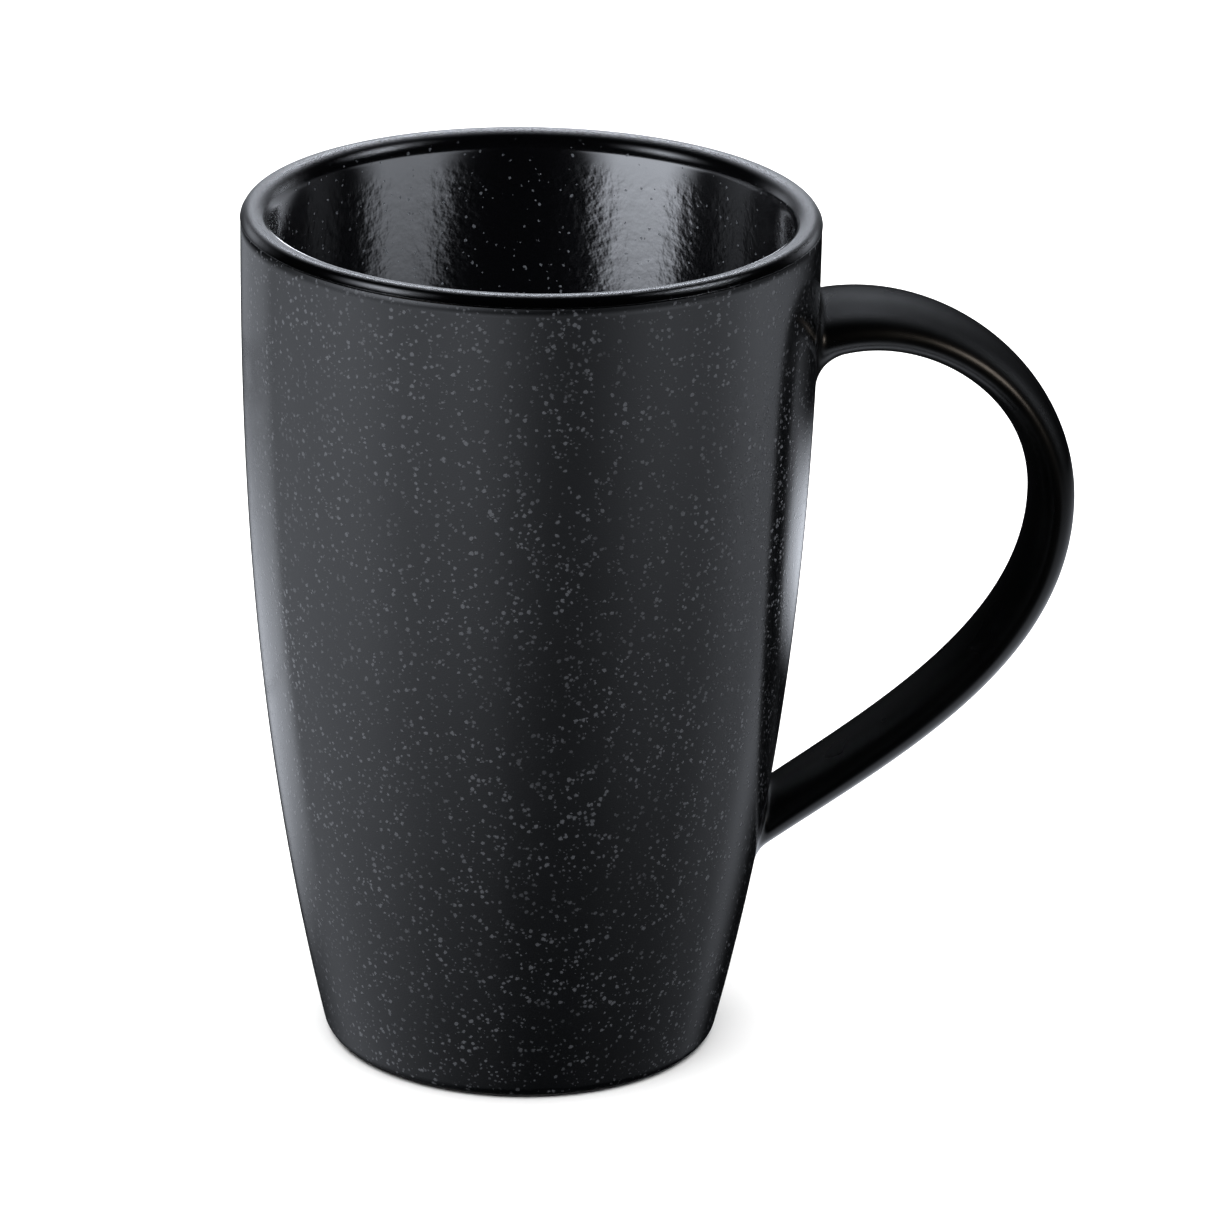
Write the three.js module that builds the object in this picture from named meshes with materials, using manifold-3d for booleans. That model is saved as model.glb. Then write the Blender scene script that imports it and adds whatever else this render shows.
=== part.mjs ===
// A tall ceramic mug: a cast stoneware cup with a strap handle luted to its wall,
// a glossy liner glaze, a speckled matt glaze outside and a plain satin glaze on the handle.
// Millimetres, +Z up. The cup stands on z = 0 and its handle points along +X.
import * as THREE from "three";
import { mergeVertices } from "three/addons/utils/BufferGeometryUtils.js";
import Module from "manifold-3d";

// Cup: the finished outer skin swells from the foot to the rim by one power law.
const HEIGHT = 125;
const RIM_RADIUS = 41.1;
const FOOT_RADIUS = 28.4;
const TAPER_POWER = 2.37;
const WALL_AT_RIM = 4.2;
const WALL_AT_FOOT = 4.6;
const LIP_ROUND_OUTSIDE = 1.5;
const FLOOR_TOP = 7;
const INNER_CORNER_ROUND = 12;

// Foot ring: bare clay that the mug stands on, round a shallow recess.
const FOOT_ROUND = 2.4;
const FOOT_RING_WIDTH = 3.4;
const RECESS_DEPTH = 2.6;
const RECESS_SLOPE = 1.6;

// Glaze coats, and the heights on the outside where one coat gives way to the next.
const GLAZE = 0.4;
const COAT_GAP = 0.1;
const CUT_GAP = 0.3;
const LINER_EDGE = 123.2;
const EXTERIOR_EDGE = 0.9;

// Handle: two curves that meet at its outermost point, in the XZ plane through the cup's axis.
const HANDLE_TOP = new THREE.Vector3(36, 0, 104.5);
const HANDLE_CREST = new THREE.Vector3(53, 0, 114);
const HANDLE_OUTERMOST = new THREE.Vector3(76.3, 0, 79.7);
const OUTERMOST_RISE = 20.2;
const OUTERMOST_FALL = 25.9;
const HANDLE_SWEEP = new THREE.Vector3(45.7, 0, 40);
const HANDLE_BOTTOM = new THREE.Vector3(29, 0, 27.1);
const HANDLE_WIDTH = 15.5;
const HANDLE_THICKNESS = { top: 10.2, middle: 6.2, bottom: 5.6 };
const THICKENING_POWER = 2.5;
const SECTION_POWER = 2.1;

// Luting joints: the radius of the concave round where each side of the handle meets the wall.
const UPPER_JOINT = { outer: 1.2, inner: 4, side: 1.2 };
const LOWER_JOINT = { outer: 2.4, inner: 1.4, side: 1.2 };
const SLIP_DEPTH = 2;

// Finishes.
const CLAY = { color: 0x6b6660, roughness: 0.9 };
const SLIP = { color: 0x77716a, roughness: 0.95 };
const GLOSS_BLACK = { color: 0x0a0a0b, roughness: 0.12 };
const MATT_CHARCOAL = { color: 0x2e3134, roughness: 0.55 };
const SATIN_BLACK = { color: 0x0f1010, roughness: 0.35 };

// Fineness of the meshes, and how much closer the handle's steps are at its joints.
const TURN_STEPS = 40;
const WALL_STEPS = 9;
const CORNER_STEPS = 4;
const LIP_STEPS = 3;
const HANDLE_SIDES = 16;
const HANDLE_STEPS = 32;
const CROWDING_AT_ENDS = 0.75;
const SAME_VERTEX = 1e-4;

const COATED = GLAZE + COAT_GAP;
const HANDLE_COATED = GLAZE + CUT_GAP;

const solids = await Module();
solids.setup();

// ---- Outlines of the cup: radius and height, in half section ----

function outerSkin(z) {
  return RIM_RADIUS - (RIM_RADIUS - FOOT_RADIUS) * (1 - z / HEIGHT) ** TAPER_POWER;
}

function innerSkin(z) {
  const wall = WALL_AT_FOOT + (WALL_AT_RIM - WALL_AT_FOOT) * (z / HEIGHT);
  return outerSkin(z) - wall;
}

function arc(centreRadius, centreHeight, radius, from, to, steps) {
  const points = [];
  for (let i = 0; i <= steps; i += 1) {
    const angle = from + ((to - from) * i) / steps;
    const r = centreRadius + radius * Math.cos(angle);
    points.push(new THREE.Vector2(r, centreHeight + radius * Math.sin(angle)));
  }
  return points;
}

// The round between a level floor and the sloping skin that rises from it.
function cornerRound(skin, floor, round, inset) {
  const rise = 1;
  const lean = Math.atan((skin(floor + round + rise) - skin(floor + round)) / rise);
  const touch = floor + round * (1 - Math.sin(lean));
  const centreRadius = skin(touch) - round * Math.cos(lean);
  const points = arc(centreRadius, floor + round, round - inset, -Math.PI / 2, -lean, CORNER_STEPS);
  return { points, centreRadius, touch };
}

function wallPoints(skin, from, to, inset) {
  const points = [];
  for (let i = 0; i <= WALL_STEPS; i += 1) {
    const z = from + ((to - from) * i) / WALL_STEPS;
    points.push(new THREE.Vector2(skin(z) - inset, z));
  }
  return points;
}

const lipRadius = RIM_RADIUS - LIP_ROUND_OUTSIDE;
const lipRoundInside = WALL_AT_RIM - LIP_ROUND_OUTSIDE;

// Outside, from the edge of the liner glaze to the rim's crest.
function lipOutside(inset) {
  const centre = HEIGHT - LIP_ROUND_OUTSIDE;
  const round = arc(lipRadius, centre, LIP_ROUND_OUTSIDE - inset, 0, Math.PI / 2, LIP_STEPS);
  return [new THREE.Vector2(outerSkin(LINER_EDGE) - inset, LINER_EDGE), ...round];
}

// Inside, from the rim's crest down the wall and across the floor to the axis.
function cupInside(inset) {
  const centre = HEIGHT - lipRoundInside;
  const lip = arc(lipRadius, centre, lipRoundInside - inset, Math.PI / 2, Math.PI, LIP_STEPS);
  const corner = cornerRound(innerSkin, FLOOR_TOP, INNER_CORNER_ROUND, -inset);
  const wall = wallPoints(innerSkin, corner.touch, centre, -inset);
  const down = [...corner.points, ...wall.slice(1, -1)].reverse();
  return [...lip.slice(1), ...down, new THREE.Vector2(0, FLOOR_TOP - inset)];
}

function cupBodyOutline() {
  const foot = cornerRound(outerSkin, 0, FOOT_ROUND, 0);
  const ringInside = foot.centreRadius - FOOT_RING_WIDTH;
  const coatedFoot = cornerRound(outerSkin, 0, FOOT_ROUND, COATED);
  const glazedRound = coatedFoot.points.filter((p) => p.y > EXTERIOR_EDGE);
  return [
    new THREE.Vector2(0, RECESS_DEPTH),
    new THREE.Vector2(ringInside - RECESS_SLOPE, RECESS_DEPTH),
    new THREE.Vector2(ringInside, 0),
    new THREE.Vector2(foot.centreRadius, 0),
    ...glazedRound,
    ...wallPoints(outerSkin, foot.touch, LINER_EDGE, COATED).slice(1, -1),
    ...lipOutside(COATED),
    ...cupInside(COATED),
  ];
}

function linerOutline() {
  const inner = [...lipOutside(0), ...cupInside(0)];
  const outer = [...lipOutside(GLAZE), ...cupInside(GLAZE)];
  return [...outer.reverse(), ...inner];
}

function exteriorOutline() {
  const skinAt = (inset) => {
    const foot = cornerRound(outerSkin, 0, FOOT_ROUND, inset);
    const round = foot.points.filter((p) => p.y > EXTERIOR_EDGE);
    const wall = wallPoints(outerSkin, foot.touch, LINER_EDGE - COAT_GAP, inset);
    return [...round, ...wall.slice(1)];
  };
  const outer = skinAt(0);
  const inner = skinAt(GLAZE).reverse();
  return [...outer, ...inner, outer[0]];
}

function baseGlazeOutline() {
  const foot = cornerRound(outerSkin, 0, FOOT_ROUND, 0);
  const edge = foot.centreRadius - FOOT_RING_WIDTH - RECESS_SLOPE - CUT_GAP;
  const top = RECESS_DEPTH - COAT_GAP;
  return [
    new THREE.Vector2(0, top - GLAZE),
    new THREE.Vector2(edge, top - GLAZE),
    new THREE.Vector2(edge, top),
    new THREE.Vector2(0, top),
  ];
}

// The cup filled solid and grown by a margin, which cuts whatever meets the wall.
function wallCutter(margin) {
  const wall = wallPoints(outerSkin, 0, HEIGHT, -margin);
  return turned([new THREE.Vector2(0, 0), ...wall, new THREE.Vector2(0, HEIGHT)]);
}

function turned(outline) {
  return new THREE.LatheGeometry(outline, TURN_STEPS).rotateX(Math.PI / 2);
}

// ---- The handle: a bar swept along its centreline ----

function handleCentreline() {
  const above = HANDLE_OUTERMOST.clone().add(new THREE.Vector3(0, 0, OUTERMOST_RISE));
  const below = HANDLE_OUTERMOST.clone().sub(new THREE.Vector3(0, 0, OUTERMOST_FALL));
  const path = new THREE.CurvePath();
  path.add(new THREE.CubicBezierCurve3(HANDLE_TOP, HANDLE_CREST, above, HANDLE_OUTERMOST));
  path.add(new THREE.CubicBezierCurve3(HANDLE_OUTERMOST, below, HANDLE_SWEEP, HANDLE_BOTTOM));
  return path;
}

const centreline = handleCentreline();

function handleThickness(along) {
  const { top, middle, bottom } = HANDLE_THICKNESS;
  const fromMiddle = 2 * along - 1;
  const end = fromMiddle < 0 ? top : bottom;
  return middle + (end - middle) * Math.abs(fromMiddle) ** THICKENING_POWER;
}

// How far a point of the handle is moved over the wall by its joint's concave round.
function jointSpread(joint, point, outward, across) {
  const offAxis = Math.hypot(outward, across);
  const sideShare = offAxis > 0 ? (across / offAxis) ** 2 : 0;
  const edge = outward > 0 ? joint.outer : joint.inner;
  const round = edge + (joint.side - edge) * sideShare;
  const offWall = Math.hypot(point.x, point.y) - outerSkin(point.z);
  const short = round - Math.min(Math.max(offWall, 0), round);
  return round - Math.sqrt(round ** 2 - short ** 2);
}

// The direction in which the wall rises through the handle's plane.
function wallRise(z) {
  const rise = 1;
  return new THREE.Vector3(outerSkin(z + rise) - outerSkin(z), 0, rise).normalize();
}

// One point on the handle, from its place along the centreline and in the section. The margin
// grows or shrinks the finished skin.
function handlePoint(along, outward, across, margin) {
  const tangent = centreline.getTangentAt(along);
  const normal = new THREE.Vector3(-tangent.z, 0, tangent.x);
  const point = centreline.getPointAt(along);
  point.addScaledVector(normal, (handleThickness(along) / 2) * outward);
  point.y = (HANDLE_WIDTH / 2) * across;
  const joint = along < 0.5 ? UPPER_JOINT : LOWER_JOINT;
  const spread = jointSpread(joint, point, outward, across);
  const rise = wallRise(point.z);
  const away = rise.multiplyScalar(outward * Math.sign(rise.dot(normal)));
  away.y = across;
  point.addScaledVector(away.normalize(), spread);
  point.addScaledVector(normal, margin * outward);
  point.y += margin * across;
  return point;
}

function rounded(share) {
  return Math.sign(share) * Math.abs(share) ** (2 / SECTION_POWER);
}

// A closed bar from end to end of the centreline, its rounded section grown by a margin.
function handleBar(margin) {
  const bar = new THREE.CylinderGeometry(1, 1, 1, HANDLE_SIDES, HANDLE_STEPS);
  const place = new THREE.Vector3();
  const positions = bar.getAttribute("position");
  for (let i = 0; i < positions.count; i += 1) {
    place.fromBufferAttribute(positions, i);
    const step = 0.5 + place.y;
    const along = step - (CROWDING_AT_ENDS * Math.sin(2 * Math.PI * step)) / (2 * Math.PI);
    const point = handlePoint(along, rounded(place.x), rounded(place.z), margin);
    positions.setXYZ(i, point.x, point.y, point.z);
  }
  return bar;
}

// ---- Cutting ----

function toSolid(geometry) {
  const bare = new THREE.BufferGeometry();
  bare.setAttribute("position", geometry.getAttribute("position").clone());
  bare.setIndex(geometry.getIndex());
  const merged = mergeVertices(bare, SAME_VERTEX);
  const vertProperties = new Float32Array(merged.getAttribute("position").array);
  const triVerts = new Uint32Array(merged.getIndex().array);
  return new solids.Manifold(new solids.Mesh({ numProp: 3, vertProperties, triVerts }));
}

function toGeometry(solid) {
  const mesh = solid.getMesh();
  const geometry = new THREE.BufferGeometry();
  geometry.setAttribute("position", new THREE.BufferAttribute(mesh.vertProperties, 3));
  geometry.setIndex(new THREE.BufferAttribute(mesh.triVerts, 1));
  geometry.computeVertexNormals();
  return geometry;
}

// ---- Sub-parts ----

function handleCore(clay) {
  return toGeometry(clay.subtract(toSolid(wallCutter(SLIP_DEPTH + CUT_GAP - COATED))));
}

// The slip between the wall and both ends of the handle, the upper joint first.
function slipJoints(clay) {
  const layer = clay.intersect(toSolid(wallCutter(SLIP_DEPTH - COATED)));
  const joints = layer.subtract(toSolid(wallCutter(CUT_GAP - COATED))).decompose();
  joints.sort((a, b) => b.boundingBox().max[2] - a.boundingBox().max[2]);
  return joints.map(toGeometry);
}

function exteriorGlaze() {
  const coat = toSolid(turned(exteriorOutline()));
  return toGeometry(coat.subtract(toSolid(handleBar(CUT_GAP - HANDLE_COATED))));
}

function handleGlaze() {
  const skin = toSolid(handleBar(0));
  const clay = toSolid(handleBar(-GLAZE));
  const wall = toSolid(wallCutter(CUT_GAP));
  return toGeometry(skin.subtract(clay).subtract(wall));
}

function part(name, geometry, finish) {
  const mesh = new THREE.Mesh(geometry, new THREE.MeshStandardMaterial({ ...finish, metalness: 0 }));
  mesh.name = name;
  return mesh;
}

const handleClay = toSolid(handleBar(-HANDLE_COATED));
const [upperSlip, lowerSlip] = slipJoints(handleClay);
const mug = new THREE.Group();
mug.add(
  part("cup_body", turned(cupBodyOutline()), CLAY),
  part("handle_core", handleCore(handleClay), CLAY),
  part("upper_joint_slip", upperSlip, SLIP),
  part("lower_joint_slip", lowerSlip, SLIP),
  part("liner_glaze", turned(linerOutline()), GLOSS_BLACK),
  part("exterior_glaze", exteriorGlaze(), MATT_CHARCOAL),
  part("handle_glaze", handleGlaze(), SATIN_BLACK),
  part("base_glaze", turned(baseGlazeOutline()), SATIN_BLACK),
);

// The origin is under the middle of the whole mug, handle included.
const bounds = new THREE.Box3().setFromObject(mug);
mug.position.x = -(bounds.min.x + bounds.max.x) / 2;

export default mug;
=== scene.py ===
"""A tall black stoneware mug: speckled matt glaze outside, glossy liner, satin strap handle.

Everything is in metres, in the frame's own axes: the mug stands on z = 0, its cup is centred
on AXIS_X and its handle points along +X. Outlines are lists of (radius, height) points.
"""
import math

import bmesh
import bpy
from mathutils import Matrix, Vector, noise


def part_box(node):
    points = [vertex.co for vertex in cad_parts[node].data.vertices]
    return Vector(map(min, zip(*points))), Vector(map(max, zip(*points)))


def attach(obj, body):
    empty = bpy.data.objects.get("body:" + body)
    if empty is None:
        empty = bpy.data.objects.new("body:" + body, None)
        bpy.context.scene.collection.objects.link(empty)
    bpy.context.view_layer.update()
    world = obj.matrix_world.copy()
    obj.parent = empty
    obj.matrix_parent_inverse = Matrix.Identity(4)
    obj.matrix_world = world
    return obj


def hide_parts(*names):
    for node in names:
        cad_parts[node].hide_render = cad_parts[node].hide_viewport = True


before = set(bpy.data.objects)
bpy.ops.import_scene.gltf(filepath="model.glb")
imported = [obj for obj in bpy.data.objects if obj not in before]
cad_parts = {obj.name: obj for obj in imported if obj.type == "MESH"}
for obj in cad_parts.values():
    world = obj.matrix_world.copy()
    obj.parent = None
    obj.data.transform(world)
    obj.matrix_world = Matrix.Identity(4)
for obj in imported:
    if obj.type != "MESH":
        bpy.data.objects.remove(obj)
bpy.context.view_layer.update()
MM = 0.001

# Sizes that the frame gives.
LINER_LOW, LINER_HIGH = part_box("liner_glaze")
BASE_LOW, BASE_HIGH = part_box("base_glaze")
HANDLE_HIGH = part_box("handle_glaze")[1]
AXIS_X = (LINER_LOW.x + LINER_HIGH.x) / 2
HEIGHT = LINER_HIGH.z
RIM_RADIUS = (LINER_HIGH.y - LINER_LOW.y) / 2

# The cup's outline, as the CAD has it.
FOOT_RADIUS = 28.4 * MM
TAPER_POWER = 2.37
WALL_AT_RIM = 4.2 * MM
WALL_AT_FOOT = 4.6 * MM
FLOOR_TOP = 7 * MM
INNER_CORNER_ROUND = 12 * MM
FOOT_ROUND = 2.4 * MM
FOOT_RING_WIDTH = 3.4 * MM
FOOT_RING_SOFTNESS = 0.4 * MM
RECESS_DEPTH = 2.6 * MM
RECESS_SLOPE = 1.6 * MM
LIP_OUTSIDE = (1.5 * MM, 1.7 * MM)
LIP_INSIDE = (2.7 * MM, 2.9 * MM)

# Glaze coats.
GLAZE = 0.4 * MM
COATED = 0.45 * MM
LINER_EDGE = 123.45 * MM
LINER_BEAD = 0.06 * MM
LINER_EDGE_WANDER = 0.1 * MM
EXTERIOR_FOOT = 0.35 * MM
BASE_EDGE_ROUND = (2.5 * MM, 0.7 * MM)
EMBED = 0.25 * MM

# The handle's centreline from the cup's axis, its section, the shares of its length between
# which its ends cross the wall, and how far its joints spread: first along the handle, then
# over the wall. The centreline and the spreads are in millimetres.
CENTRELINE = (
    ((36, 104.5), (53, 114), (76.3, 99.9), (76.3, 79.7)),
    ((76.3, 79.7), (76.3, 53.8), (45.7, 40), (29, 27.1)),
)
HANDLE_WIDTH = 15.5 * MM
HANDLE_THICKNESS = {"top": 10.2 * MM, "middle": 6.2 * MM, "bottom": 5.6 * MM}
THICKENING_POWER = 2.5
SECTION_POWER = 2.1
UPPER_END = (0, 0.3)
LOWER_END = (1, 0.7)
UPPER_JOINT = {"outer": (1.5, 1.4), "inner": (6, 4.6), "side": (1.6, 1.6)}
LOWER_JOINT = {"outer": (2.4, 2.4), "inner": (2.4, 2.2), "side": (1.6, 1.6)}

# Fineness of the meshes.
TURN_STEPS = 256
WALL_STEPS = 90
ROUND_STEPS = 16
HANDLE_SIDES = 96
HANDLE_ROWS = 200
JOINT_ROWS = 14
CURVE_STEPS = 400
HALVINGS = 40
SAME_PLACE = 0.0001 * MM


# ---------------------------------------------------------------- outlines


def outer_skin(z):
    """Radius of the cup's outside at a height."""
    return RIM_RADIUS - (RIM_RADIUS - FOOT_RADIUS) * (1 - z / HEIGHT) ** TAPER_POWER


def inner_skin(z):
    """Radius of the cup's inside at a height."""
    wall = WALL_AT_FOOT + (WALL_AT_RIM - WALL_AT_FOOT) * z / HEIGHT
    return outer_skin(z) - wall


def oval_arc(centre, half_sizes, start, stop, steps=ROUND_STEPS):
    """Points of part of an upright oval, from one angle in degrees to another."""
    points = []
    for i in range(steps + 1):
        angle = math.radians(start + (stop - start) * i / steps)
        r = centre[0] + half_sizes[0] * math.cos(angle)
        points.append((r, centre[1] + half_sizes[1] * math.sin(angle)))
    return points


def wall_points(skin, low, high, inset):
    """Points up one side of the wall, set into it."""
    heights = [low + (high - low) * i / WALL_STEPS for i in range(WALL_STEPS + 1)]
    return [(skin(z) - inset, z) for z in heights]


def corner_round(skin, floor, size, inset):
    """The round between a level floor and the skin that rises from it, and where it ends."""
    rise = MM
    lean = math.atan((skin(floor + size + rise) - skin(floor + size)) / rise)
    touch = floor + size * (1 - math.sin(lean))
    centre = (skin(touch) - size * math.cos(lean), floor + size)
    round_size = size - inset
    points = oval_arc(centre, (round_size, round_size), -90, -math.degrees(lean))
    return points, touch, centre[0]


LIP_RADIUS = RIM_RADIUS - LIP_OUTSIDE[0]


def lip_outside(inset):
    """From where the lip's round starts on the outside up to the rim's crest."""
    size = (LIP_OUTSIDE[0] - inset, LIP_OUTSIDE[1] - inset)
    return oval_arc((LIP_RADIUS, HEIGHT - LIP_OUTSIDE[1]), size, 0, 90)


def cup_inside(inset):
    """From the rim's crest down the inner wall and across the floor to the axis."""
    size = (LIP_INSIDE[0] - inset, LIP_INSIDE[1] - inset)
    lip_centre = HEIGHT - LIP_INSIDE[1]
    lip = oval_arc((LIP_RADIUS, lip_centre), size, 90, 180)
    corner, touch, _ = corner_round(inner_skin, FLOOR_TOP, INNER_CORNER_ROUND, -inset)
    wall = wall_points(inner_skin, touch, lip_centre, -inset)
    down = list(reversed(corner[:-1] + wall[:-1]))
    return lip[1:] + down + [(0, FLOOR_TOP - inset)]


def foot_outline():
    """The bare foot, from the axis out under the recess and over the ring to its round."""
    _, _, ring_outside = corner_round(outer_skin, 0, FOOT_ROUND, 0)
    ring_inside = ring_outside - FOOT_RING_WIDTH
    soft = FOOT_RING_SOFTNESS
    return [
        (0, RECESS_DEPTH),
        (ring_inside - RECESS_SLOPE, RECESS_DEPTH),
        (ring_inside - soft, soft),
        (ring_inside, soft * 0.3),
        (ring_inside + soft, 0),
        (ring_outside - soft, 0),
        (ring_outside, soft * 0.1),
    ]


# ---------------------------------------------------------------- meshes


def mesh_object(name, vertices, faces):
    """A smooth object from points and faces, with points in the same place made one."""
    mesh = bpy.data.meshes.new(name)
    mesh.from_pydata(vertices, [], faces)
    shape = bmesh.new()
    shape.from_mesh(mesh)
    bmesh.ops.remove_doubles(shape, verts=shape.verts, dist=SAME_PLACE)
    bmesh.ops.dissolve_degenerate(shape, edges=shape.edges, dist=SAME_PLACE)
    bmesh.ops.recalc_face_normals(shape, faces=shape.faces)
    shape.to_mesh(mesh)
    shape.free()
    mesh.shade_smooth()
    piece = bpy.data.objects.new(name, mesh)
    bpy.context.scene.collection.objects.link(piece)
    return piece


def turned(name, outline, closed=False, wander=None):
    """A solid turned round the cup's axis. wander(x, y, height) shifts a point's height."""
    vertices = []
    for step in range(TURN_STEPS):
        angle = math.tau * step / TURN_STEPS
        across, along = math.cos(angle), math.sin(angle)
        for r, z in outline:
            x, y = AXIS_X + r * across, r * along
            shift = wander(x, y, z) if wander else 0
            vertices.append((x, y, z + shift))
    count = len(outline)
    spans = count if closed else count - 1
    faces = []
    for step in range(TURN_STEPS):
        here, there = step * count, (step + 1) % TURN_STEPS * count
        for i in range(spans):
            j = (i + 1) % count
            faces.append((here + i, there + i, there + j, here + j))
    return mesh_object(name, vertices, faces)


def finish_piece(piece, node, material):
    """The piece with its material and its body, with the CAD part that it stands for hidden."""
    piece.data.materials.append(material)
    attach(piece, "root")
    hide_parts(node)
    return piece


# ---------------------------------------------------------------- the handle's skin


def bezier(points, t):
    """Place and direction on a curve with four guide points."""
    a, b, c, d = [Vector(p) * MM for p in points]
    s = 1 - t
    place = a * s**3 + b * 3 * s * s * t + c * 3 * s * t * t + d * t**3
    slope = (b - a) * s * s + (c - b) * 2 * s * t + (d - c) * t * t
    return place, slope.normalized()


def curve_table():
    """Places and directions along the whole centreline, with their distances from its start."""
    rows = []
    length = 0
    last = None
    for half in CENTRELINE:
        for i in range(CURVE_STEPS + 1):
            place, slope = bezier(half, i / CURVE_STEPS)
            length += (place - last).length if last else 0
            rows.append((length, place, slope))
            last = place
    return rows


CURVE = curve_table()
CURVE_LENGTH = CURVE[-1][0]


def on_centreline(along):
    """Place and direction at a share of the centreline's length."""
    target = along * CURVE_LENGTH
    low, high = 0, len(CURVE) - 1
    while high - low > 1:
        middle = (low + high) // 2
        if CURVE[middle][0] <= target:
            low = middle
        else:
            high = middle
    span = CURVE[high][0] - CURVE[low][0]
    share = (target - CURVE[low][0]) / span if span else 0
    place = CURVE[low][1].lerp(CURVE[high][1], share)
    slope = CURVE[low][2].lerp(CURVE[high][2], share).normalized()
    return place, slope


def thickness(along):
    """The handle's thickness, least at its middle."""
    from_middle = 2 * along - 1
    end = HANDLE_THICKNESS["top" if from_middle < 0 else "bottom"]
    middle = HANDLE_THICKNESS["middle"]
    return middle + (end - middle) * abs(from_middle) ** THICKENING_POWER


def rail_point(along, outward, across, margin):
    """A point of the handle's straight skin, before its joints spread, from the cup's axis."""
    place, slope = on_centreline(along)
    out = (thickness(along) / 2 + margin) * outward
    x = place.x - slope.y * out
    z = place.y + slope.x * out
    return Vector((x, (HANDLE_WIDTH / 2 + margin) * across, z))


def off_wall(point, margin):
    """How far the point is outside the cup's skin."""
    return math.hypot(point.x, point.y) - outer_skin(point.z) - margin


def on_wall(point, margin):
    """The point moved straight in or out until it lies on the cup's skin."""
    scale = (outer_skin(point.z) + margin) / math.hypot(point.x, point.y)
    return Vector((point.x * scale, point.y * scale, point.z))


def wall_crossing(outward, across, margin, inside, outside):
    """Where along the centreline a rail of the handle's skin passes through the wall."""
    for _ in range(HALVINGS):
        middle = (inside + outside) / 2
        if off_wall(rail_point(middle, outward, across, margin), margin) < 0:
            inside = middle
        else:
            outside = middle
    return outside


def joint_spread(joint, outward, across):
    """How far this rail's joint reaches along the handle and over the wall."""
    side_share = across**2 / (outward**2 + across**2)
    edge = joint["outer"] if outward > 0 else joint["inner"]
    side = joint["side"]
    return [(e + (s - e) * side_share) * MM for e, s in zip(edge, side)]


def joint_rows(joint, crossing, step_sign, outward, across, margin):
    """The blend from inside the wall, over it and out along the handle, and where it ends."""
    along_handle, over_wall = joint_spread(joint, outward, across)
    corner = rail_point(crossing, outward, across, margin)
    leave = crossing + step_sign * along_handle / CURVE_LENGTH
    start = rail_point(leave, outward, across, margin)
    rise = Vector((outer_skin(corner.z + MM) - outer_skin(corner.z), 0, MM)).normalized()
    slope = on_centreline(crossing)[1]
    upward = 1 if slope.x > 0 else -1
    away = rise * outward * upward
    away.y = across
    foot = on_wall(corner + away.normalized() * over_wall, margin)
    centre = Vector((foot.x, foot.y, 0)).normalized()
    rows = [foot - centre * EMBED]
    for i in range(JOINT_ROWS + 1):
        t = i / JOINT_ROWS
        rows.append(foot * (1 - t) ** 2 + corner * 2 * t * (1 - t) + start * t * t)
    return rows, leave


def squared_off(value):
    """A cosine or sine changed so that a circle becomes a slightly squarer oval."""
    return math.copysign(abs(value) ** (2 / SECTION_POWER), value)


def handle_rail(side, margin):
    """One line of the handle's skin from the upper joint to the lower one."""
    angle = math.tau * side / HANDLE_SIDES
    outward = squared_off(math.cos(angle))
    across = squared_off(math.sin(angle))
    upper = wall_crossing(outward, across, margin, *UPPER_END)
    lower = wall_crossing(outward, across, margin, *LOWER_END)
    top_rows, leave = joint_rows(UPPER_JOINT, upper, 1, outward, across, margin)
    bottom_rows, arrive = joint_rows(LOWER_JOINT, lower, -1, outward, across, margin)
    middle = []
    for i in range(1, HANDLE_ROWS):
        along = leave + (arrive - leave) * i / HANDLE_ROWS
        middle.append(rail_point(along, outward, across, margin))
    shift = Vector((AXIS_X, 0, 0))
    return [p + shift for p in top_rows + middle + bottom_rows[::-1]]


def handle_skin(margin):
    """Rings of the handle's skin, from the upper joint to the lower one."""
    rails = [handle_rail(side, margin) for side in range(HANDLE_SIDES)]
    return [list(ring) for ring in zip(*rails)]


def ring_faces(first, second):
    """Faces between two rings of the handle, from the number of each ring's first point."""
    faces = []
    for i in range(HANDLE_SIDES):
        j = (i + 1) % HANDLE_SIDES
        faces.append((first + i, first + j, second + j, second + i))
    return faces


def closed_loft(name, rings):
    """A solid through the rings, with a fan at each end."""
    vertices = [p for ring in rings for p in ring]
    faces = []
    for k in range(len(rings) - 1):
        faces += ring_faces(k * HANDLE_SIDES, (k + 1) * HANDLE_SIDES)
    for ring_index in (0, len(rings) - 1):
        centre = sum(rings[ring_index], Vector()) / HANDLE_SIDES
        vertices.append(centre)
        hub = len(vertices) - 1
        start = ring_index * HANDLE_SIDES
        for i in range(HANDLE_SIDES):
            faces.append((start + i, start + (i + 1) % HANDLE_SIDES, hub))
    return mesh_object(name, vertices, faces)


def shell_loft(name, outer, inner):
    """A tube wall between two sets of rings, closed at both of its open ends."""
    rings = outer + inner[::-1]
    vertices = [p for ring in rings for p in ring]
    faces = []
    for k in range(len(rings)):
        following = (k + 1) % len(rings)
        faces += ring_faces(k * HANDLE_SIDES, following * HANDLE_SIDES)
    return mesh_object(name, vertices, faces)


# ---------------------------------------------------------------- materials

# The darker and the lighter colour of each bare material.
CLAY_COLOURS = ((0.12, 0.105, 0.09, 1), (0.17, 0.15, 0.13, 1))
SLIP_COLOURS = ((0.14, 0.125, 0.11, 1), (0.2, 0.18, 0.16, 1))


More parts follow.
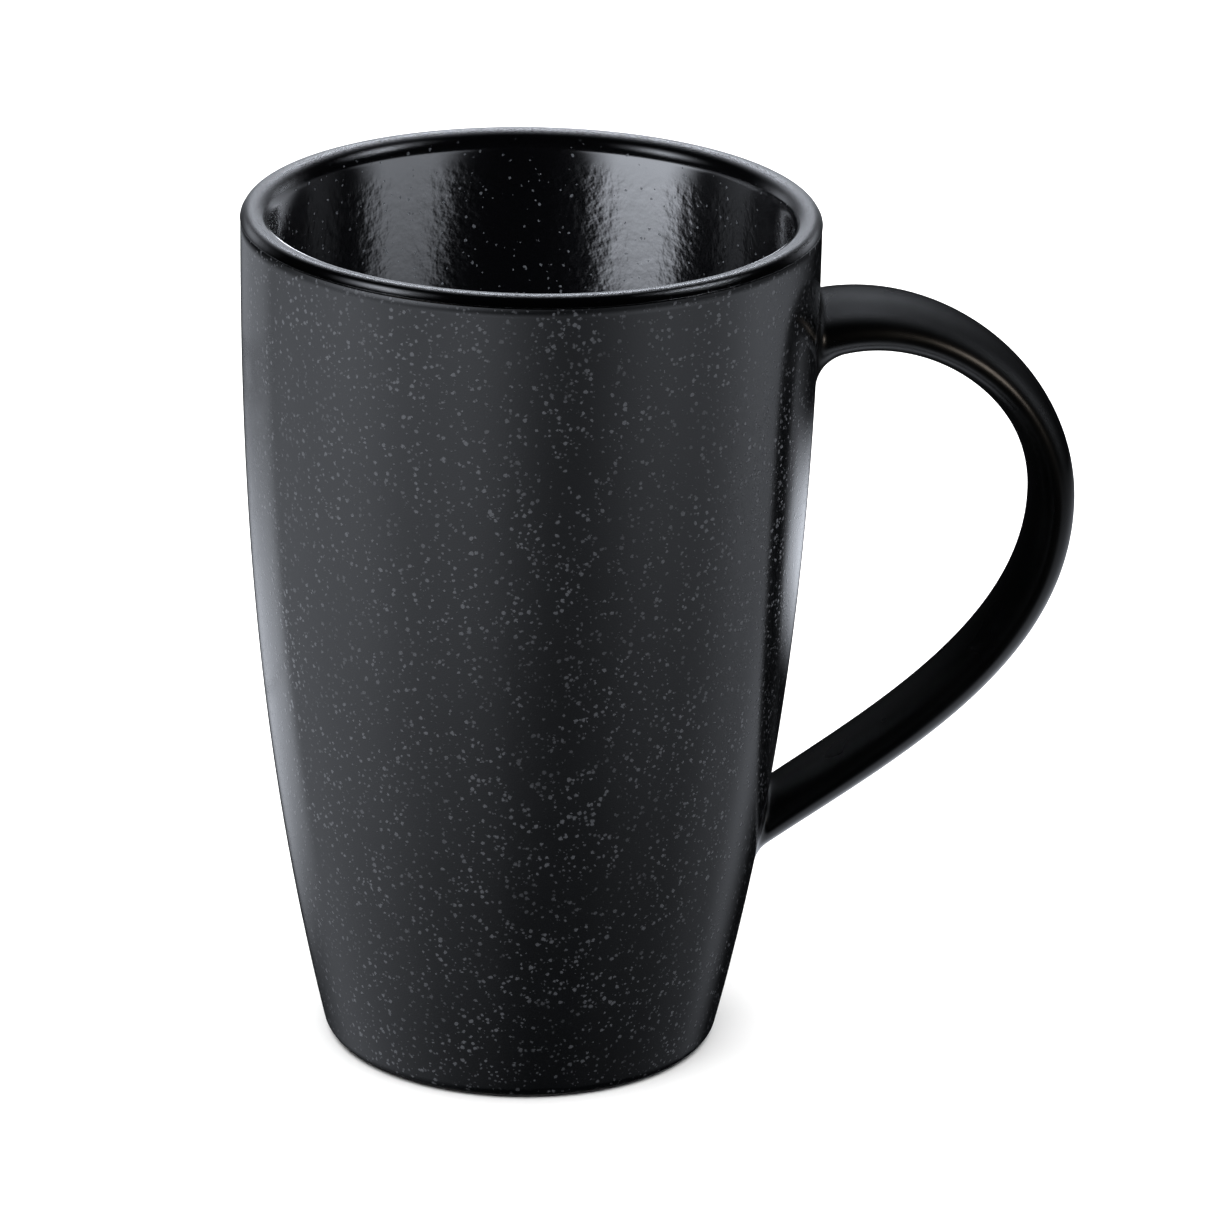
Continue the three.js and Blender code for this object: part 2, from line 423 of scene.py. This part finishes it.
class Shader:
    """A material's node tree, with short calls for adding and joining nodes."""

    def __init__(self, name):
        self.material = bpy.data.materials.new(name)
        self.material.use_nodes = True
        self.tree = self.material.node_tree
        self.surface = self.tree.nodes["Principled BSDF"]
        coords = self.tree.nodes.new("ShaderNodeTexCoord")
        self.place = coords.outputs["Object"]

    def add(self, kind, inputs=None, **settings):
        """A new node, with its settings and with values or links for its inputs."""
        node = self.tree.nodes.new(kind)
        for key, value in settings.items():
            setattr(node, key, value)
        for key, value in (inputs or {}).items():
            self.feed(node.inputs[key], value)
        return node

    def feed(self, socket, value):
        """Link another node's output to the socket, or set the socket's own value."""
        if isinstance(value, bpy.types.NodeSocket):
            self.tree.links.new(value, socket)
        else:
            socket.default_value = value

    def math(self, operation, a, b=0.0):
        return self.add("ShaderNodeMath", {0: a, 1: b}, operation=operation).outputs[0]

    def ramp(self, value, low, high, to_low=0.0, to_high=1.0):
        """value mapped smoothly from one range to another, and held at its ends."""
        node = self.add("ShaderNodeMapRange", interpolation_type="SMOOTHSTEP")
        sources = (value, low, high, to_low, to_high)
        names = ("Value", "From Min", "From Max", "To Min", "To Max")
        for name, source in zip(names, sources):
            self.feed(node.inputs[name], source)
        return node.outputs["Result"]

    def noise(self, size, detail=2.0, offset=0.0):
        """Smooth noise whose lumps are about size metres across."""
        place = self.shifted(offset)
        inputs = {"Vector": place, "Scale": 1 / size, "Detail": detail}
        return self.add("ShaderNodeTexNoise", inputs).outputs["Fac"]

    def shifted(self, offset):
        """The place moved by an offset, so that two patterns of one kind don't match."""
        if not offset:
            return self.place
        inputs = {0: self.place, 1: (offset, offset, offset)}
        return self.add("ShaderNodeVectorMath", inputs, operation="ADD").outputs[0]

    def mix(self, factor, a, b):
        """Colour a where the factor is 0 and colour b where it is 1."""
        node = self.add("ShaderNodeMix", data_type="RGBA")
        self.feed(node.inputs["Factor"], factor)
        self.feed(node.inputs[6], a)
        self.feed(node.inputs[7], b)
        return node.outputs[2]

    def specks(self, spacing, smallest, largest, share, offset, ragged=0.35):
        """Specks from one in every cell of a loose grid, kept in a share of the cells.

        The sizes are radii in metres. Noise in the place makes the specks uneven."""
        full_within = 0.55
        wobble_scale = 0.7 / largest
        push = ragged * 4 * largest
        place = self.shifted(offset)
        wobble = self.add("ShaderNodeTexNoise", {"Vector": place, "Scale": wobble_scale})
        centred = {0: wobble.outputs["Color"], 1: (0.5, 0.5, 0.5)}
        centred = self.add("ShaderNodeVectorMath", centred, operation="SUBTRACT").outputs[0]
        pushed = {0: centred, 1: (push, push, push), 2: place}
        pushed = self.add("ShaderNodeVectorMath", pushed, operation="MULTIPLY_ADD").outputs[0]
        cells = self.add("ShaderNodeTexVoronoi", {"Vector": pushed, "Scale": 1 / spacing})
        chance = self.add("ShaderNodeSeparateColor", {"Color": cells.outputs["Color"]})
        size = self.ramp(chance.outputs["Red"], 0, 1, smallest / spacing, largest / spacing)
        core = self.math("MULTIPLY", size, full_within)
        inside = self.ramp(cells.outputs["Distance"], size, core)
        kept = self.math("LESS_THAN", chance.outputs["Green"], share)
        return self.math("MULTIPLY", inside, kept)

    def bump(self, height, depth, below=None, strength=1.0):
        """A normal tilted by a height from 0 to 1 and a depth in metres, over the one below."""
        inputs = {"Height": height, "Distance": depth, "Strength": strength}
        if below:
            inputs["Normal"] = below
        return self.add("ShaderNodeBump", inputs).outputs["Normal"]

    def set(self, **inputs):
        """Values or links for the surface's own inputs, whose names have _ for a space."""
        for key, value in inputs.items():
            self.feed(self.surface.inputs[key.replace("_", " ")], value)


def speckled_matt_glaze():
    """Cloudy charcoal with a fine grain, and raised pale specks that crowd in some places."""
    s = Shader("speckled_matt_glaze")
    dark, light = (0.0028, 0.003, 0.0032, 1), (0.0042, 0.0045, 0.0048, 1)
    grain_colour, speck_colour = (0.012, 0.0125, 0.013, 1), (0.11, 0.11, 0.112, 1)
    clouds = s.noise(14 * MM, 3)
    grain = s.noise(0.35 * MM, 2, offset=0.2)
    ground = s.mix(s.ramp(clouds, 0.35, 0.65), dark, light)
    ground = s.mix(s.ramp(grain, 0.5, 0.85, 0, 0.35), ground, grain_colour)
    crowd = s.ramp(s.noise(9 * MM, 2, offset=0.5), 0.35, 0.6, 0.45, 1)
    coarse = s.specks(0.9 * MM, 0.2 * MM, 0.4 * MM, 0.6, 0.0)
    fine = s.specks(0.7 * MM, 0.1 * MM, 0.26 * MM, 0.6, 0.31)
    coarse = s.math("MULTIPLY", coarse, crowd)
    fine = s.math("MULTIPLY", fine, s.math("MULTIPLY", crowd, 0.6))
    specks = s.math("MAXIMUM", coarse, fine)
    lumps = s.bump(s.noise(0.22 * MM, 2, offset=0.7), 0.006 * MM)
    s.set(Base_Color=s.mix(specks, ground, speck_colour))
    s.set(Normal=s.bump(specks, 0.02 * MM, lumps))
    s.set(Roughness=s.ramp(grain, 0.2, 0.8, 0.12, 0.16))
    return s.material


def glossy_liner_glaze():
    """Black gloss with pale specks, an orange peel and pinholes, and a smooth, plain lip."""
    s = Shader("glossy_liner_glaze")
    black, speck_colour = (0.0012, 0.0012, 0.0014, 1), (0.05, 0.052, 0.054, 1)
    height = s.add("ShaderNodeSeparateXYZ", {0: s.place}).outputs["Z"]
    off_lip = s.ramp(height, HEIGHT - 0.5 * MM, HEIGHT - 2.5 * MM)
    down_wall = s.ramp(height, HEIGHT - 3 * MM, HEIGHT - 7 * MM)
    specks = s.specks(1.1 * MM, 0.12 * MM, 0.3 * MM, 0.55, 0.0)
    specks = s.math("MULTIPLY", specks, off_lip)
    pits = s.specks(1.9 * MM, 0.14 * MM, 0.24 * MM, 0.3, 0.8)
    pits = s.math("MULTIPLY", pits, s.math("MULTIPLY", down_wall, -1.0))
    peel = s.bump(s.noise(2.2 * MM, 1, offset=0.4), 0.06 * MM, strength=down_wall)
    fine_peel = s.bump(s.noise(0.75 * MM, 1, offset=0.6), 0.03 * MM, peel, down_wall)
    s.set(Base_Color=s.mix(specks, black, speck_colour))
    s.set(Normal=s.bump(pits, 0.04 * MM, fine_peel))
    s.set(Roughness=s.ramp(specks, 0, 1, 0.13, 0.5), Specular_IOR_Level=0.4)
    return s.material


def satin_handle_glaze():
    """Plain satin black with a faint unevenness."""
    s = Shader("satin_handle_glaze")
    dark, light = (0.0016, 0.0018, 0.0018, 1), (0.0026, 0.0028, 0.0028, 1)
    clouds = s.noise(9 * MM, 2)
    s.set(Base_Color=s.mix(clouds, dark, light))
    s.set(Normal=s.bump(s.noise(1.4 * MM, 2, offset=0.3), 0.006 * MM))
    s.set(Roughness=s.ramp(clouds, 0.3, 0.7, 0.27, 0.33))
    return s.material


def satin_base_glaze():
    """The charcoal under the foot, thinner and a little paler than outside."""
    s = Shader("satin_base_glaze")
    dark, light = (0.006, 0.006, 0.0065, 1), (0.011, 0.011, 0.012, 1)
    clouds = s.noise(6 * MM, 3)
    s.set(Base_Color=s.mix(clouds, dark, light))
    s.set(Normal=s.bump(s.noise(1.8 * MM, 2, offset=0.3), 0.02 * MM))
    s.set(Roughness=s.ramp(clouds, 0.3, 0.7, 0.25, 0.4))
    return s.material


def bare_stoneware(name, dark, light):
    """Dry fired clay with dark grains."""
    s = Shader(name)
    grain_colour = (0.03, 0.024, 0.02, 1)
    clouds = s.noise(5 * MM, 4)
    grains = s.specks(0.9 * MM, 0.1 * MM, 0.28 * MM, 0.5, 0.1)
    ground = s.mix(s.ramp(clouds, 0.3, 0.7), dark, light)
    s.set(Base_Color=s.mix(s.math("MULTIPLY", grains, 0.6), ground, grain_colour))
    s.set(Normal=s.bump(s.noise(0.4 * MM, 4, offset=0.6), 0.04 * MM))
    s.set(Roughness=s.ramp(clouds, 0.3, 0.7, 0.8, 0.92))
    return s.material


# ---------------------------------------------------------------- the mug's pieces


def liner_edge_wander(x, y, z):
    """The liner's lower edge outside isn't quite level, as where a dipped coat ends."""
    fade_height = 0.6 * MM
    long_wave, short_wave = 90, 400
    outside = math.hypot(x - AXIS_X, y) > LIP_RADIUS
    if not outside or z <= LINER_EDGE - MM:
        return 0
    at_edge = 1 - min(max((z - LINER_EDGE) / fade_height, 0), 1)
    drift = noise.noise(Vector((x, y, 0)) * long_wave)
    drift += 0.5 * noise.noise(Vector((x, y, 1)) * short_wave)
    return LINER_EDGE_WANDER * drift * at_edge


def make_liner(material):
    """The coat inside and over the lip, which ends outside in a thin bead."""
    skin = outer_skin(LINER_EDGE)
    bead = [(skin - GLAZE, LINER_EDGE), (skin - 0.5 * LINER_BEAD, LINER_EDGE)]
    bead.append((skin + LINER_BEAD, LINER_EDGE + 1.5 * LINER_BEAD))
    bead += lip_outside(-LINER_BEAD)[1:4]
    finished = bead + lip_outside(0)[5:] + cup_inside(0)
    hidden = lip_outside(GLAZE) + cup_inside(GLAZE)
    outline = hidden[::-1] + finished
    piece = turned("liner_glaze_coat", outline, wander=liner_edge_wander)
    return finish_piece(piece, "liner_glaze", material)


def make_exterior(material):
    """The speckled coat, from a thin bead above the foot up to under the liner's edge."""
    top = HEIGHT - LIP_OUTSIDE[1]

    def skin_at(inset):
        corner, touch, _ = corner_round(outer_skin, 0, FOOT_ROUND, inset)
        kept = [p for p in corner if p[1] > EXTERIOR_FOOT]
        return kept + wall_points(outer_skin, touch, top, inset)[1:]

    outline = skin_at(0) + skin_at(GLAZE)[::-1]
    piece = turned("exterior_glaze_coat", outline, closed=True)
    return finish_piece(piece, "exterior_glaze", material)


def make_cup(material):
    """The clay under the coats, bare on its foot ring."""
    corner, touch, _ = corner_round(outer_skin, 0, FOOT_ROUND, COATED)
    kept = [p for p in corner if p[1] > EXTERIOR_FOOT + COATED]
    wall = wall_points(outer_skin, touch, HEIGHT - LIP_OUTSIDE[1], COATED)
    outline = foot_outline() + kept + wall[1:-1] + lip_outside(COATED) + cup_inside(COATED)
    piece = turned("cup_clay", outline)
    return finish_piece(piece, "cup_body", material)


def make_base(material):
    """The glaze in the recess, with its edge drawn a little down the recess's slope."""
    edge = BASE_HIGH.y
    width, drop = BASE_EDGE_ROUND
    low, high = RECESS_DEPTH - GLAZE, RECESS_DEPTH - 0.02 * MM
    outline = [(0, low), (edge - width, low)]
    outline += oval_arc((edge - width, low - drop), BASE_EDGE_ROUND, 90, 10)
    outline += [(edge + 0.2 * MM, low - 0.55 * MM), (edge + 0.1 * MM, high), (0, high)]
    piece = turned("base_glaze_coat", outline)
    return finish_piece(piece, "base_glaze", material)


def make_handle(glaze, clay, slip):
    """The handle's coat, its clay, and the slip that joins the clay to the cup at both ends."""
    coat = shell_loft("handle_glaze_coat", handle_skin(0), handle_skin(-GLAZE))
    finish_piece(coat, "handle_glaze", glaze)
    rings = handle_skin(-COATED)
    joint_end = JOINT_ROWS - 2
    upper = closed_loft("upper_joint_clay_slip", rings[: joint_end + 1])
    core = closed_loft("handle_clay", rings[joint_end:-joint_end])
    lower = closed_loft("lower_joint_clay_slip", rings[-joint_end - 1 :])
    finish_piece(upper, "upper_joint_slip", slip)
    finish_piece(core, "handle_core", clay)
    finish_piece(lower, "lower_joint_slip", slip)
    return [coat, upper, core, lower]


# ---------------------------------------------------------------- camera, floor and lights

CAMERA_AZIMUTH = -7
CAMERA_DISTANCE = 938 * MM
CAMERA_HEIGHT = 416.5 * MM
AIM_RIGHT = 11.7 * MM
AIM_HEIGHT = 65 * MM
CAMERA_ROLL = 1.1
LENS = 206.1
LIGHT_COLOUR = (0.95, 1.0, 1.1)

# The studio round the mug, as soft pools of light: azimuth from the camera's side, elevation and
# softness, all in degrees, and strength. Those below the horizon are light off the table.
CUP_POOLS = (
    (-113, -22, 18, 0.6),
    (-72, -10, 21, 1.45),
    (-22, -7, 19, 1.15),
    (-71, 50, 17, 2.9),
    (53, 0, 20, 1.15),
    (101, -9, 16, 1.0),
    (126, -26, 7, 0.4),
    (100, 60, 20, 0.5),
    (162, 29, 10, 1.5),
)
LIP_POOLS = (
    (180, 62, 12, 4),
    (-166, 40, 11, 4),
    (166, 40, 11, 4),
    (180, 10, 12, 1.0),
    (-66, 36, 7, 9),
    (84, 44, 7, 8),
    (138, 9, 8, 1.2),
    (-138, 9, 8, 1.2),
)
HANDLE_POOLS = (
    (172, 44, 16, 0.8),
    (110, 82, 16, 1.1),
    (92, 25, 16, 0.5),
)
POOL_DISTANCE = 2
POOL_RINGS = 12
POOL_SPOKES = 32
FILL_LIGHT = 0.006

# Flat lights close behind the mug, whose light grazes its left and right edges: azimuth from
# the camera's side, distance from the cup's axis, height, width and height of the card, and
# strength.
EDGE_CARDS = {
    "left_low_card": (-127, 118 * MM, 12 * MM, (85 * MM, 124 * MM), 1.1),
    "left_high_card": (-127, 118 * MM, 80 * MM, (85 * MM, 140 * MM), 0.42),
    "right_card": (134, 120 * MM, 38 * MM, (66 * MM, 50 * MM), 1.5),
}
CARD_STEPS = 16

# The glow off the table on the handle's lower half: the shares of the handle's length where it
# starts, is full and ends, its distance from the centreline, half its width, and strength.
ARM_GLOW_SPAN = (0.4, 0.62, 0.97)
ARM_GLOW_GAP = 8 * MM
ARM_GLOW_HALF_WIDTH = 40 * MM
ARM_GLOW_STRENGTH = 1.2
ARM_GLOW_STEPS = (40, 24)

# The small warm light for the short streak on the handle's upper bend.
STREAK_COLOUR = (1.0, 0.87, 0.75)
STREAK_BEND = Vector((47, -7.7, 101)) * MM
STREAK_SIDE = (24, -6)
STREAK_DISTANCE = 40 * MM
STREAK_SIZE = (14 * MM, 14 * MM)
STREAK_RADIANCE = 5.655

# Glows inside the cup, by its wall: azimuths of both sides at the top and at the foot, heights
# of the foot and the top, strength, the share of it at the foot, and how much of it is added
# from the foot to the top. Each fades out in a share of its width at both sides, and in a share
# of its height at the top.
INNER_GLOWS = {
    "right_inner_glow": ((135, 34), (114, 66), (78 * MM, 121 * MM), (4.3, 0.4, 1)),
    "left_inner_glow": ((-27, -130), (-49, -100), (78 * MM, 121 * MM), (11, 0.4, 1)),
    "back_inner_glow": ((280, 176), (280, 176), (113 * MM, 125 * MM), (0.8, 0, 4)),
}
INNER_GLOW_GAP = 1.5 * MM
INNER_GLOW_SIDE_FADE = 0.25
INNER_GLOW_TOP_FADE = 0.1
INNER_GLOW_STEPS = 24

FLOOR_HALF = 1.2
FLOOR_LIGHT_HEIGHT = 1.6
FLOOR_LIGHT_SIZE = (3, 3)
FLOOR_LIGHT_RADIANCE = 5.34


def camera_side(azimuth, elevation=0.0):
    """The direction from the mug at an azimuth from the camera's side."""
    turn = math.radians(azimuth + CAMERA_AZIMUTH)
    rise = math.radians(elevation)
    level = math.cos(rise)
    return Vector((math.sin(turn) * level, -math.cos(turn) * level, math.sin(rise)))


def make_camera():
    """A long lens that looks down on the mug from its front."""
    turn = Matrix.Rotation(math.radians(CAMERA_AZIMUTH), 3, "Z")
    axis = Vector((AXIS_X, 0, 0))
    place = axis + turn @ Vector((0, -CAMERA_DISTANCE, CAMERA_HEIGHT))
    aim = axis + turn @ Vector((AIM_RIGHT, 0, AIM_HEIGHT))
    data = bpy.data.cameras.new("camera")
    data.lens = LENS
    camera = bpy.data.objects.new("camera", data)
    look = (aim - place).to_track_quat("-Z", "Y").to_matrix()
    roll = Matrix.Rotation(math.radians(CAMERA_ROLL), 3, "Z")
    camera.matrix_world = Matrix.Translation(place) @ (look @ roll).to_4x4()
    bpy.context.scene.collection.objects.link(camera)
    bpy.context.scene.camera = camera


def lit_only(name, pieces):
    """A collection of the pieces that a light is for."""
    receivers = bpy.data.collections.new(name)
    for piece in pieces:
        receivers.objects.link(piece)
    return receivers


def glow_material(name, colour, see_through_back):
    """Light of the strength that the mesh's own glow attribute gives, and clear otherwise."""
    s = Shader(name)
    s.tree.nodes.remove(s.surface)
    level = s.add("ShaderNodeAttribute", attribute_name="glow").outputs["Fac"]
    if see_through_back:
        facing = s.add("ShaderNodeNewGeometry").outputs["Backfacing"]
        level = s.math("MULTIPLY", level, s.math("SUBTRACT", 1.0, facing))
    lamp = s.add("ShaderNodeEmission", {"Color": (*colour, 1), "Strength": level})
    clear = s.add("ShaderNodeBsdfTransparent")
    both = s.add("ShaderNodeAddShader", {0: lamp.outputs[0], 1: clear.outputs[0]})
    output = s.tree.nodes["Material Output"]
    s.tree.links.new(both.outputs[0], output.inputs["Surface"])
    return s.material


def glowing_sheet(name, vertices, faces, glow, material, receivers):
    """A sheet of light that the camera doesn't see and that throws no shadow."""
    mesh = bpy.data.meshes.new(name)
    mesh.from_pydata(vertices, [], faces)
    layer = mesh.attributes.new("glow", "FLOAT", "POINT")
    layer.data.foreach_set("value", glow)
    mesh.materials.append(material)
    sheet = bpy.data.objects.new(name, mesh)
    bpy.context.scene.collection.objects.link(sheet)
    sheet.visible_camera = False
    sheet.visible_shadow = False
    sheet.light_linking.receiver_collection = receivers


def grid_faces(rows, columns):
    """Faces of a grid of points that are listed row by row."""
    faces = []
    for row in range(rows):
        for column in range(columns):
            start = row * (columns + 1) + column
            above = start + columns + 1
            faces.append((start, start + 1, above + 1, above))
    return faces


def bell(share):
    """A fade from 1 at a share of 0 to nothing at -1 and 1."""
    return (1 - share**2) ** 2


def light_pool(name, pool, material, receivers):
    """Part of a far sphere that glows most at its middle and fades out all round."""
    azimuth, elevation, softness, strength = pool
    middle = camera_side(azimuth, elevation)
    across = middle.orthogonal().normalized()
    along = middle.cross(across)
    sigma = math.radians(softness)
    reach = 3 * sigma
    centre = Vector((AXIS_X, 0, HEIGHT / 2))
    vertices, glow = [centre + middle * POOL_DISTANCE], [strength]
    for ring in range(1, POOL_RINGS + 1):
        tilt = reach * ring / POOL_RINGS
        level = strength * math.exp((math.cos(tilt) - 1) / sigma**2)
        for spoke in range(POOL_SPOKES):
            turn = math.tau * spoke / POOL_SPOKES
            side = across * math.cos(turn) + along * math.sin(turn)
            direction = middle * math.cos(tilt) + side * math.sin(tilt)
            vertices.append(centre + direction * POOL_DISTANCE)
            glow.append(level)
    faces = []
    for spoke in range(POOL_SPOKES):
        following = (spoke + 1) % POOL_SPOKES
        faces.append((0, 1 + spoke, 1 + following))
        for ring in range(POOL_RINGS - 1):
            start = 1 + ring * POOL_SPOKES
            near, far = start + spoke, start + following
            faces.append((near, near + POOL_SPOKES, far + POOL_SPOKES, far))
    glowing_sheet(name, vertices, faces, glow, material, receivers)


def area_light(name, place, aim, size, radiance, receivers):
    """A rectangular light of a given radiance, facing a point and unseen by the camera."""
    data = bpy.data.lights.new(name, "AREA")
    data.shape = "RECTANGLE"
    data.size, data.size_y = size
    data.energy = radiance * math.pi * size[0] * size[1]
    light = bpy.data.objects.new(name, data)
    look = (aim - place).to_track_quat("-Z", "Y").to_matrix()
    light.matrix_world = Matrix.Translation(place) @ look.to_4x4()
    light.visible_camera = False
    light.light_linking.receiver_collection = receivers
    bpy.context.scene.collection.objects.link(light)
    return light


def soft_card(name, place, aim, size, strength, material, receivers):
    """A flat light that faces a point and fades out towards its edges."""
    facing = (aim - place).normalized()
    across = facing.cross(Vector((0, 0, 1))).normalized()
    up = across.cross(facing)
    vertices, glow = [], []
    for j in range(CARD_STEPS + 1):
        v = 2 * j / CARD_STEPS - 1
        for i in range(CARD_STEPS + 1):
            u = 2 * i / CARD_STEPS - 1
            vertices.append(place + across * (u * size[0] / 2) + up * (v * size[1] / 2))
            glow.append(strength * (1 - u**4) * bell(v))
    faces = grid_faces(CARD_STEPS, CARD_STEPS)
    glowing_sheet(name, vertices, faces, glow, material, receivers)


def make_edge_cards(material, receivers):
    """Soft lights close behind the mug, each facing the edge of the cup on its own side."""
    for name, (azimuth, distance, height, size, strength) in EDGE_CARDS.items():
        axis = Vector((AXIS_X, 0, height))
        place = axis + camera_side(azimuth) * distance
        side = camera_side(math.copysign(90, azimuth)) * RIM_RADIUS
        soft_card(name, place, axis + side, size, strength, material, receivers)


def make_arm_glow(material, receivers):
    """A glow that follows the handle's outside, as if off the table, for its lower half."""
    first, full, last = ARM_GLOW_SPAN
    rows, columns = ARM_GLOW_STEPS
    vertices, glow = [], []
    for i in range(rows + 1):
        along = first + (last - first) * i / rows
        place, slope = on_centreline(along)
        x = AXIS_X + place.x - slope.y * ARM_GLOW_GAP
        z = place.y + slope.x * ARM_GLOW_GAP
        level = ARM_GLOW_STRENGTH * min(1, (along - first) / (full - first))
        for j in range(columns + 1):
            v = 2 * j / columns - 1
            vertices.append((x, v * ARM_GLOW_HALF_WIDTH, z))
            glow.append(level * bell(v))
    faces = grid_faces(rows, columns)
    glowing_sheet("arm_glow", vertices, faces, glow, material, receivers)


def make_streak(receivers):
    """A small warm light near the handle's front, for the short streak on its upper bend."""
    place = STREAK_BEND + camera_side(*STREAK_SIDE) * STREAK_DISTANCE
    light = area_light(
        "streak_light", place, STREAK_BEND, STREAK_SIZE, STREAK_RADIANCE, receivers
    )
    light.data.color = STREAK_COLOUR


def inner_glow(name, at_top, at_foot, heights, levels, material, receivers):
    """A soft glow inside the cup, by one wall, that the opposite wall's gloss reflects."""
    low, high = heights
    strength, foot_share, rise = levels
    steps = INNER_GLOW_STEPS
    vertices, glow = [], []
    for j in range(steps + 1):
        v = j / steps
        z = low + (high - low) * v
        radius = inner_skin(z) - INNER_GLOW_GAP
        first = at_foot[0] + (at_top[0] - at_foot[0]) * v
        last = at_foot[1] + (at_top[1] - at_foot[1]) * v
        up_fade = min(1, (1 - v) / INNER_GLOW_TOP_FADE, foot_share + rise * v)
        for i in range(steps + 1):
            u = i / steps
            out = camera_side(first + (last - first) * u) * radius
            side_fade = min(1, u / INNER_GLOW_SIDE_FADE, (1 - u) / INNER_GLOW_SIDE_FADE)
            vertices.append((AXIS_X + out.x, out.y, z))
            glow.append(strength * side_fade * up_fade)
    glowing_sheet(name, vertices, grid_faces(steps, steps), glow, material, receivers)


def make_lights(cup_pieces, liner_pieces, handle_pieces):
    """The pools and the small lights, each of which lights only one group of pieces."""
    pool = glow_material("pool_glow", LIGHT_COLOUR, False)
    strip = glow_material("strip_glow", LIGHT_COLOUR, True)
    for name, pools, pieces in (
        ("cup", CUP_POOLS, cup_pieces),
        ("lip", LIP_POOLS, liner_pieces),
        ("handle", HANDLE_POOLS, handle_pieces),
    ):
        receivers = lit_only("lit_by_" + name + "_pools", pieces)
        for i, values in enumerate(pools):
            light_pool(f"{name}_pool_{i + 1}", values, pool, receivers)
    make_edge_cards(pool, lit_only("lit_by_edge_cards", cup_pieces))
    handle_only = lit_only("lit_by_handle_lights", handle_pieces)
    make_arm_glow(strip, handle_only)
    make_streak(handle_only)
    inside = lit_only("lit_by_inner_glows", liner_pieces)
    for name, values in INNER_GLOWS.items():
        inner_glow(name, *values, strip, inside)


def make_floor():
    """A pale floor that only the camera sees, under an even light of its own."""
    half = FLOOR_HALF
    vertices = [(-half, -half, 0), (half, -half, 0), (half, half, 0), (-half, half, 0)]
    floor = mesh_object("floor", vertices, [(0, 1, 2, 3)])
    s = Shader("pale_floor")
    s.set(Base_Color=(0.8, 0.8, 0.8, 1), Roughness=0.9, Specular_IOR_Level=0)
    floor.data.materials.append(s.material)
    floor.visible_glossy = False
    floor.visible_diffuse = False
    floor.visible_shadow = False
    foot = Vector((AXIS_X, 0, 0))
    above = Vector((AXIS_X, 0, FLOOR_LIGHT_HEIGHT))
    floor_only = lit_only("lit_floor", [floor])
    area_light("floor_light", above, foot, FLOOR_LIGHT_SIZE, FLOOR_LIGHT_RADIANCE, floor_only)


def make_world():
    """White where the camera sees it, and a faint grey light on everything."""
    world = bpy.data.worlds.new("studio")
    world.use_nodes = True
    tree = world.node_tree
    tree.nodes.clear()
    seen = tree.nodes.new("ShaderNodeBackground")
    seen.inputs["Color"].default_value = (1, 1, 1, 1)
    light = tree.nodes.new("ShaderNodeBackground")
    light.inputs["Color"].default_value = (*LIGHT_COLOUR, 1)
    light.inputs["Strength"].default_value = FILL_LIGHT
    path = tree.nodes.new("ShaderNodeLightPath")
    mixed = tree.nodes.new("ShaderNodeMixShader")
    tree.links.new(path.outputs["Is Camera Ray"], mixed.inputs[0])
    tree.links.new(light.outputs[0], mixed.inputs[1])
    tree.links.new(seen.outputs[0], mixed.inputs[2])
    output = tree.nodes.new("ShaderNodeOutputWorld")
    tree.links.new(mixed.outputs[0], output.inputs["Surface"])
    bpy.context.scene.world = world
    bpy.context.scene.view_settings.view_transform = "Standard"


def main():
    make_camera()
    make_world()
    make_floor()
    clay = bare_stoneware("bare_stoneware", *CLAY_COLOURS)
    slip = bare_stoneware("fired_slip", *SLIP_COLOURS)
    liner = make_liner(glossy_liner_glaze())
    exterior = make_exterior(speckled_matt_glaze())
    cup = make_cup(clay)
    base = make_base(satin_base_glaze())
    handle = make_handle(satin_handle_glaze(), clay, slip)
    make_lights([exterior, cup, base], [liner], handle)


main()
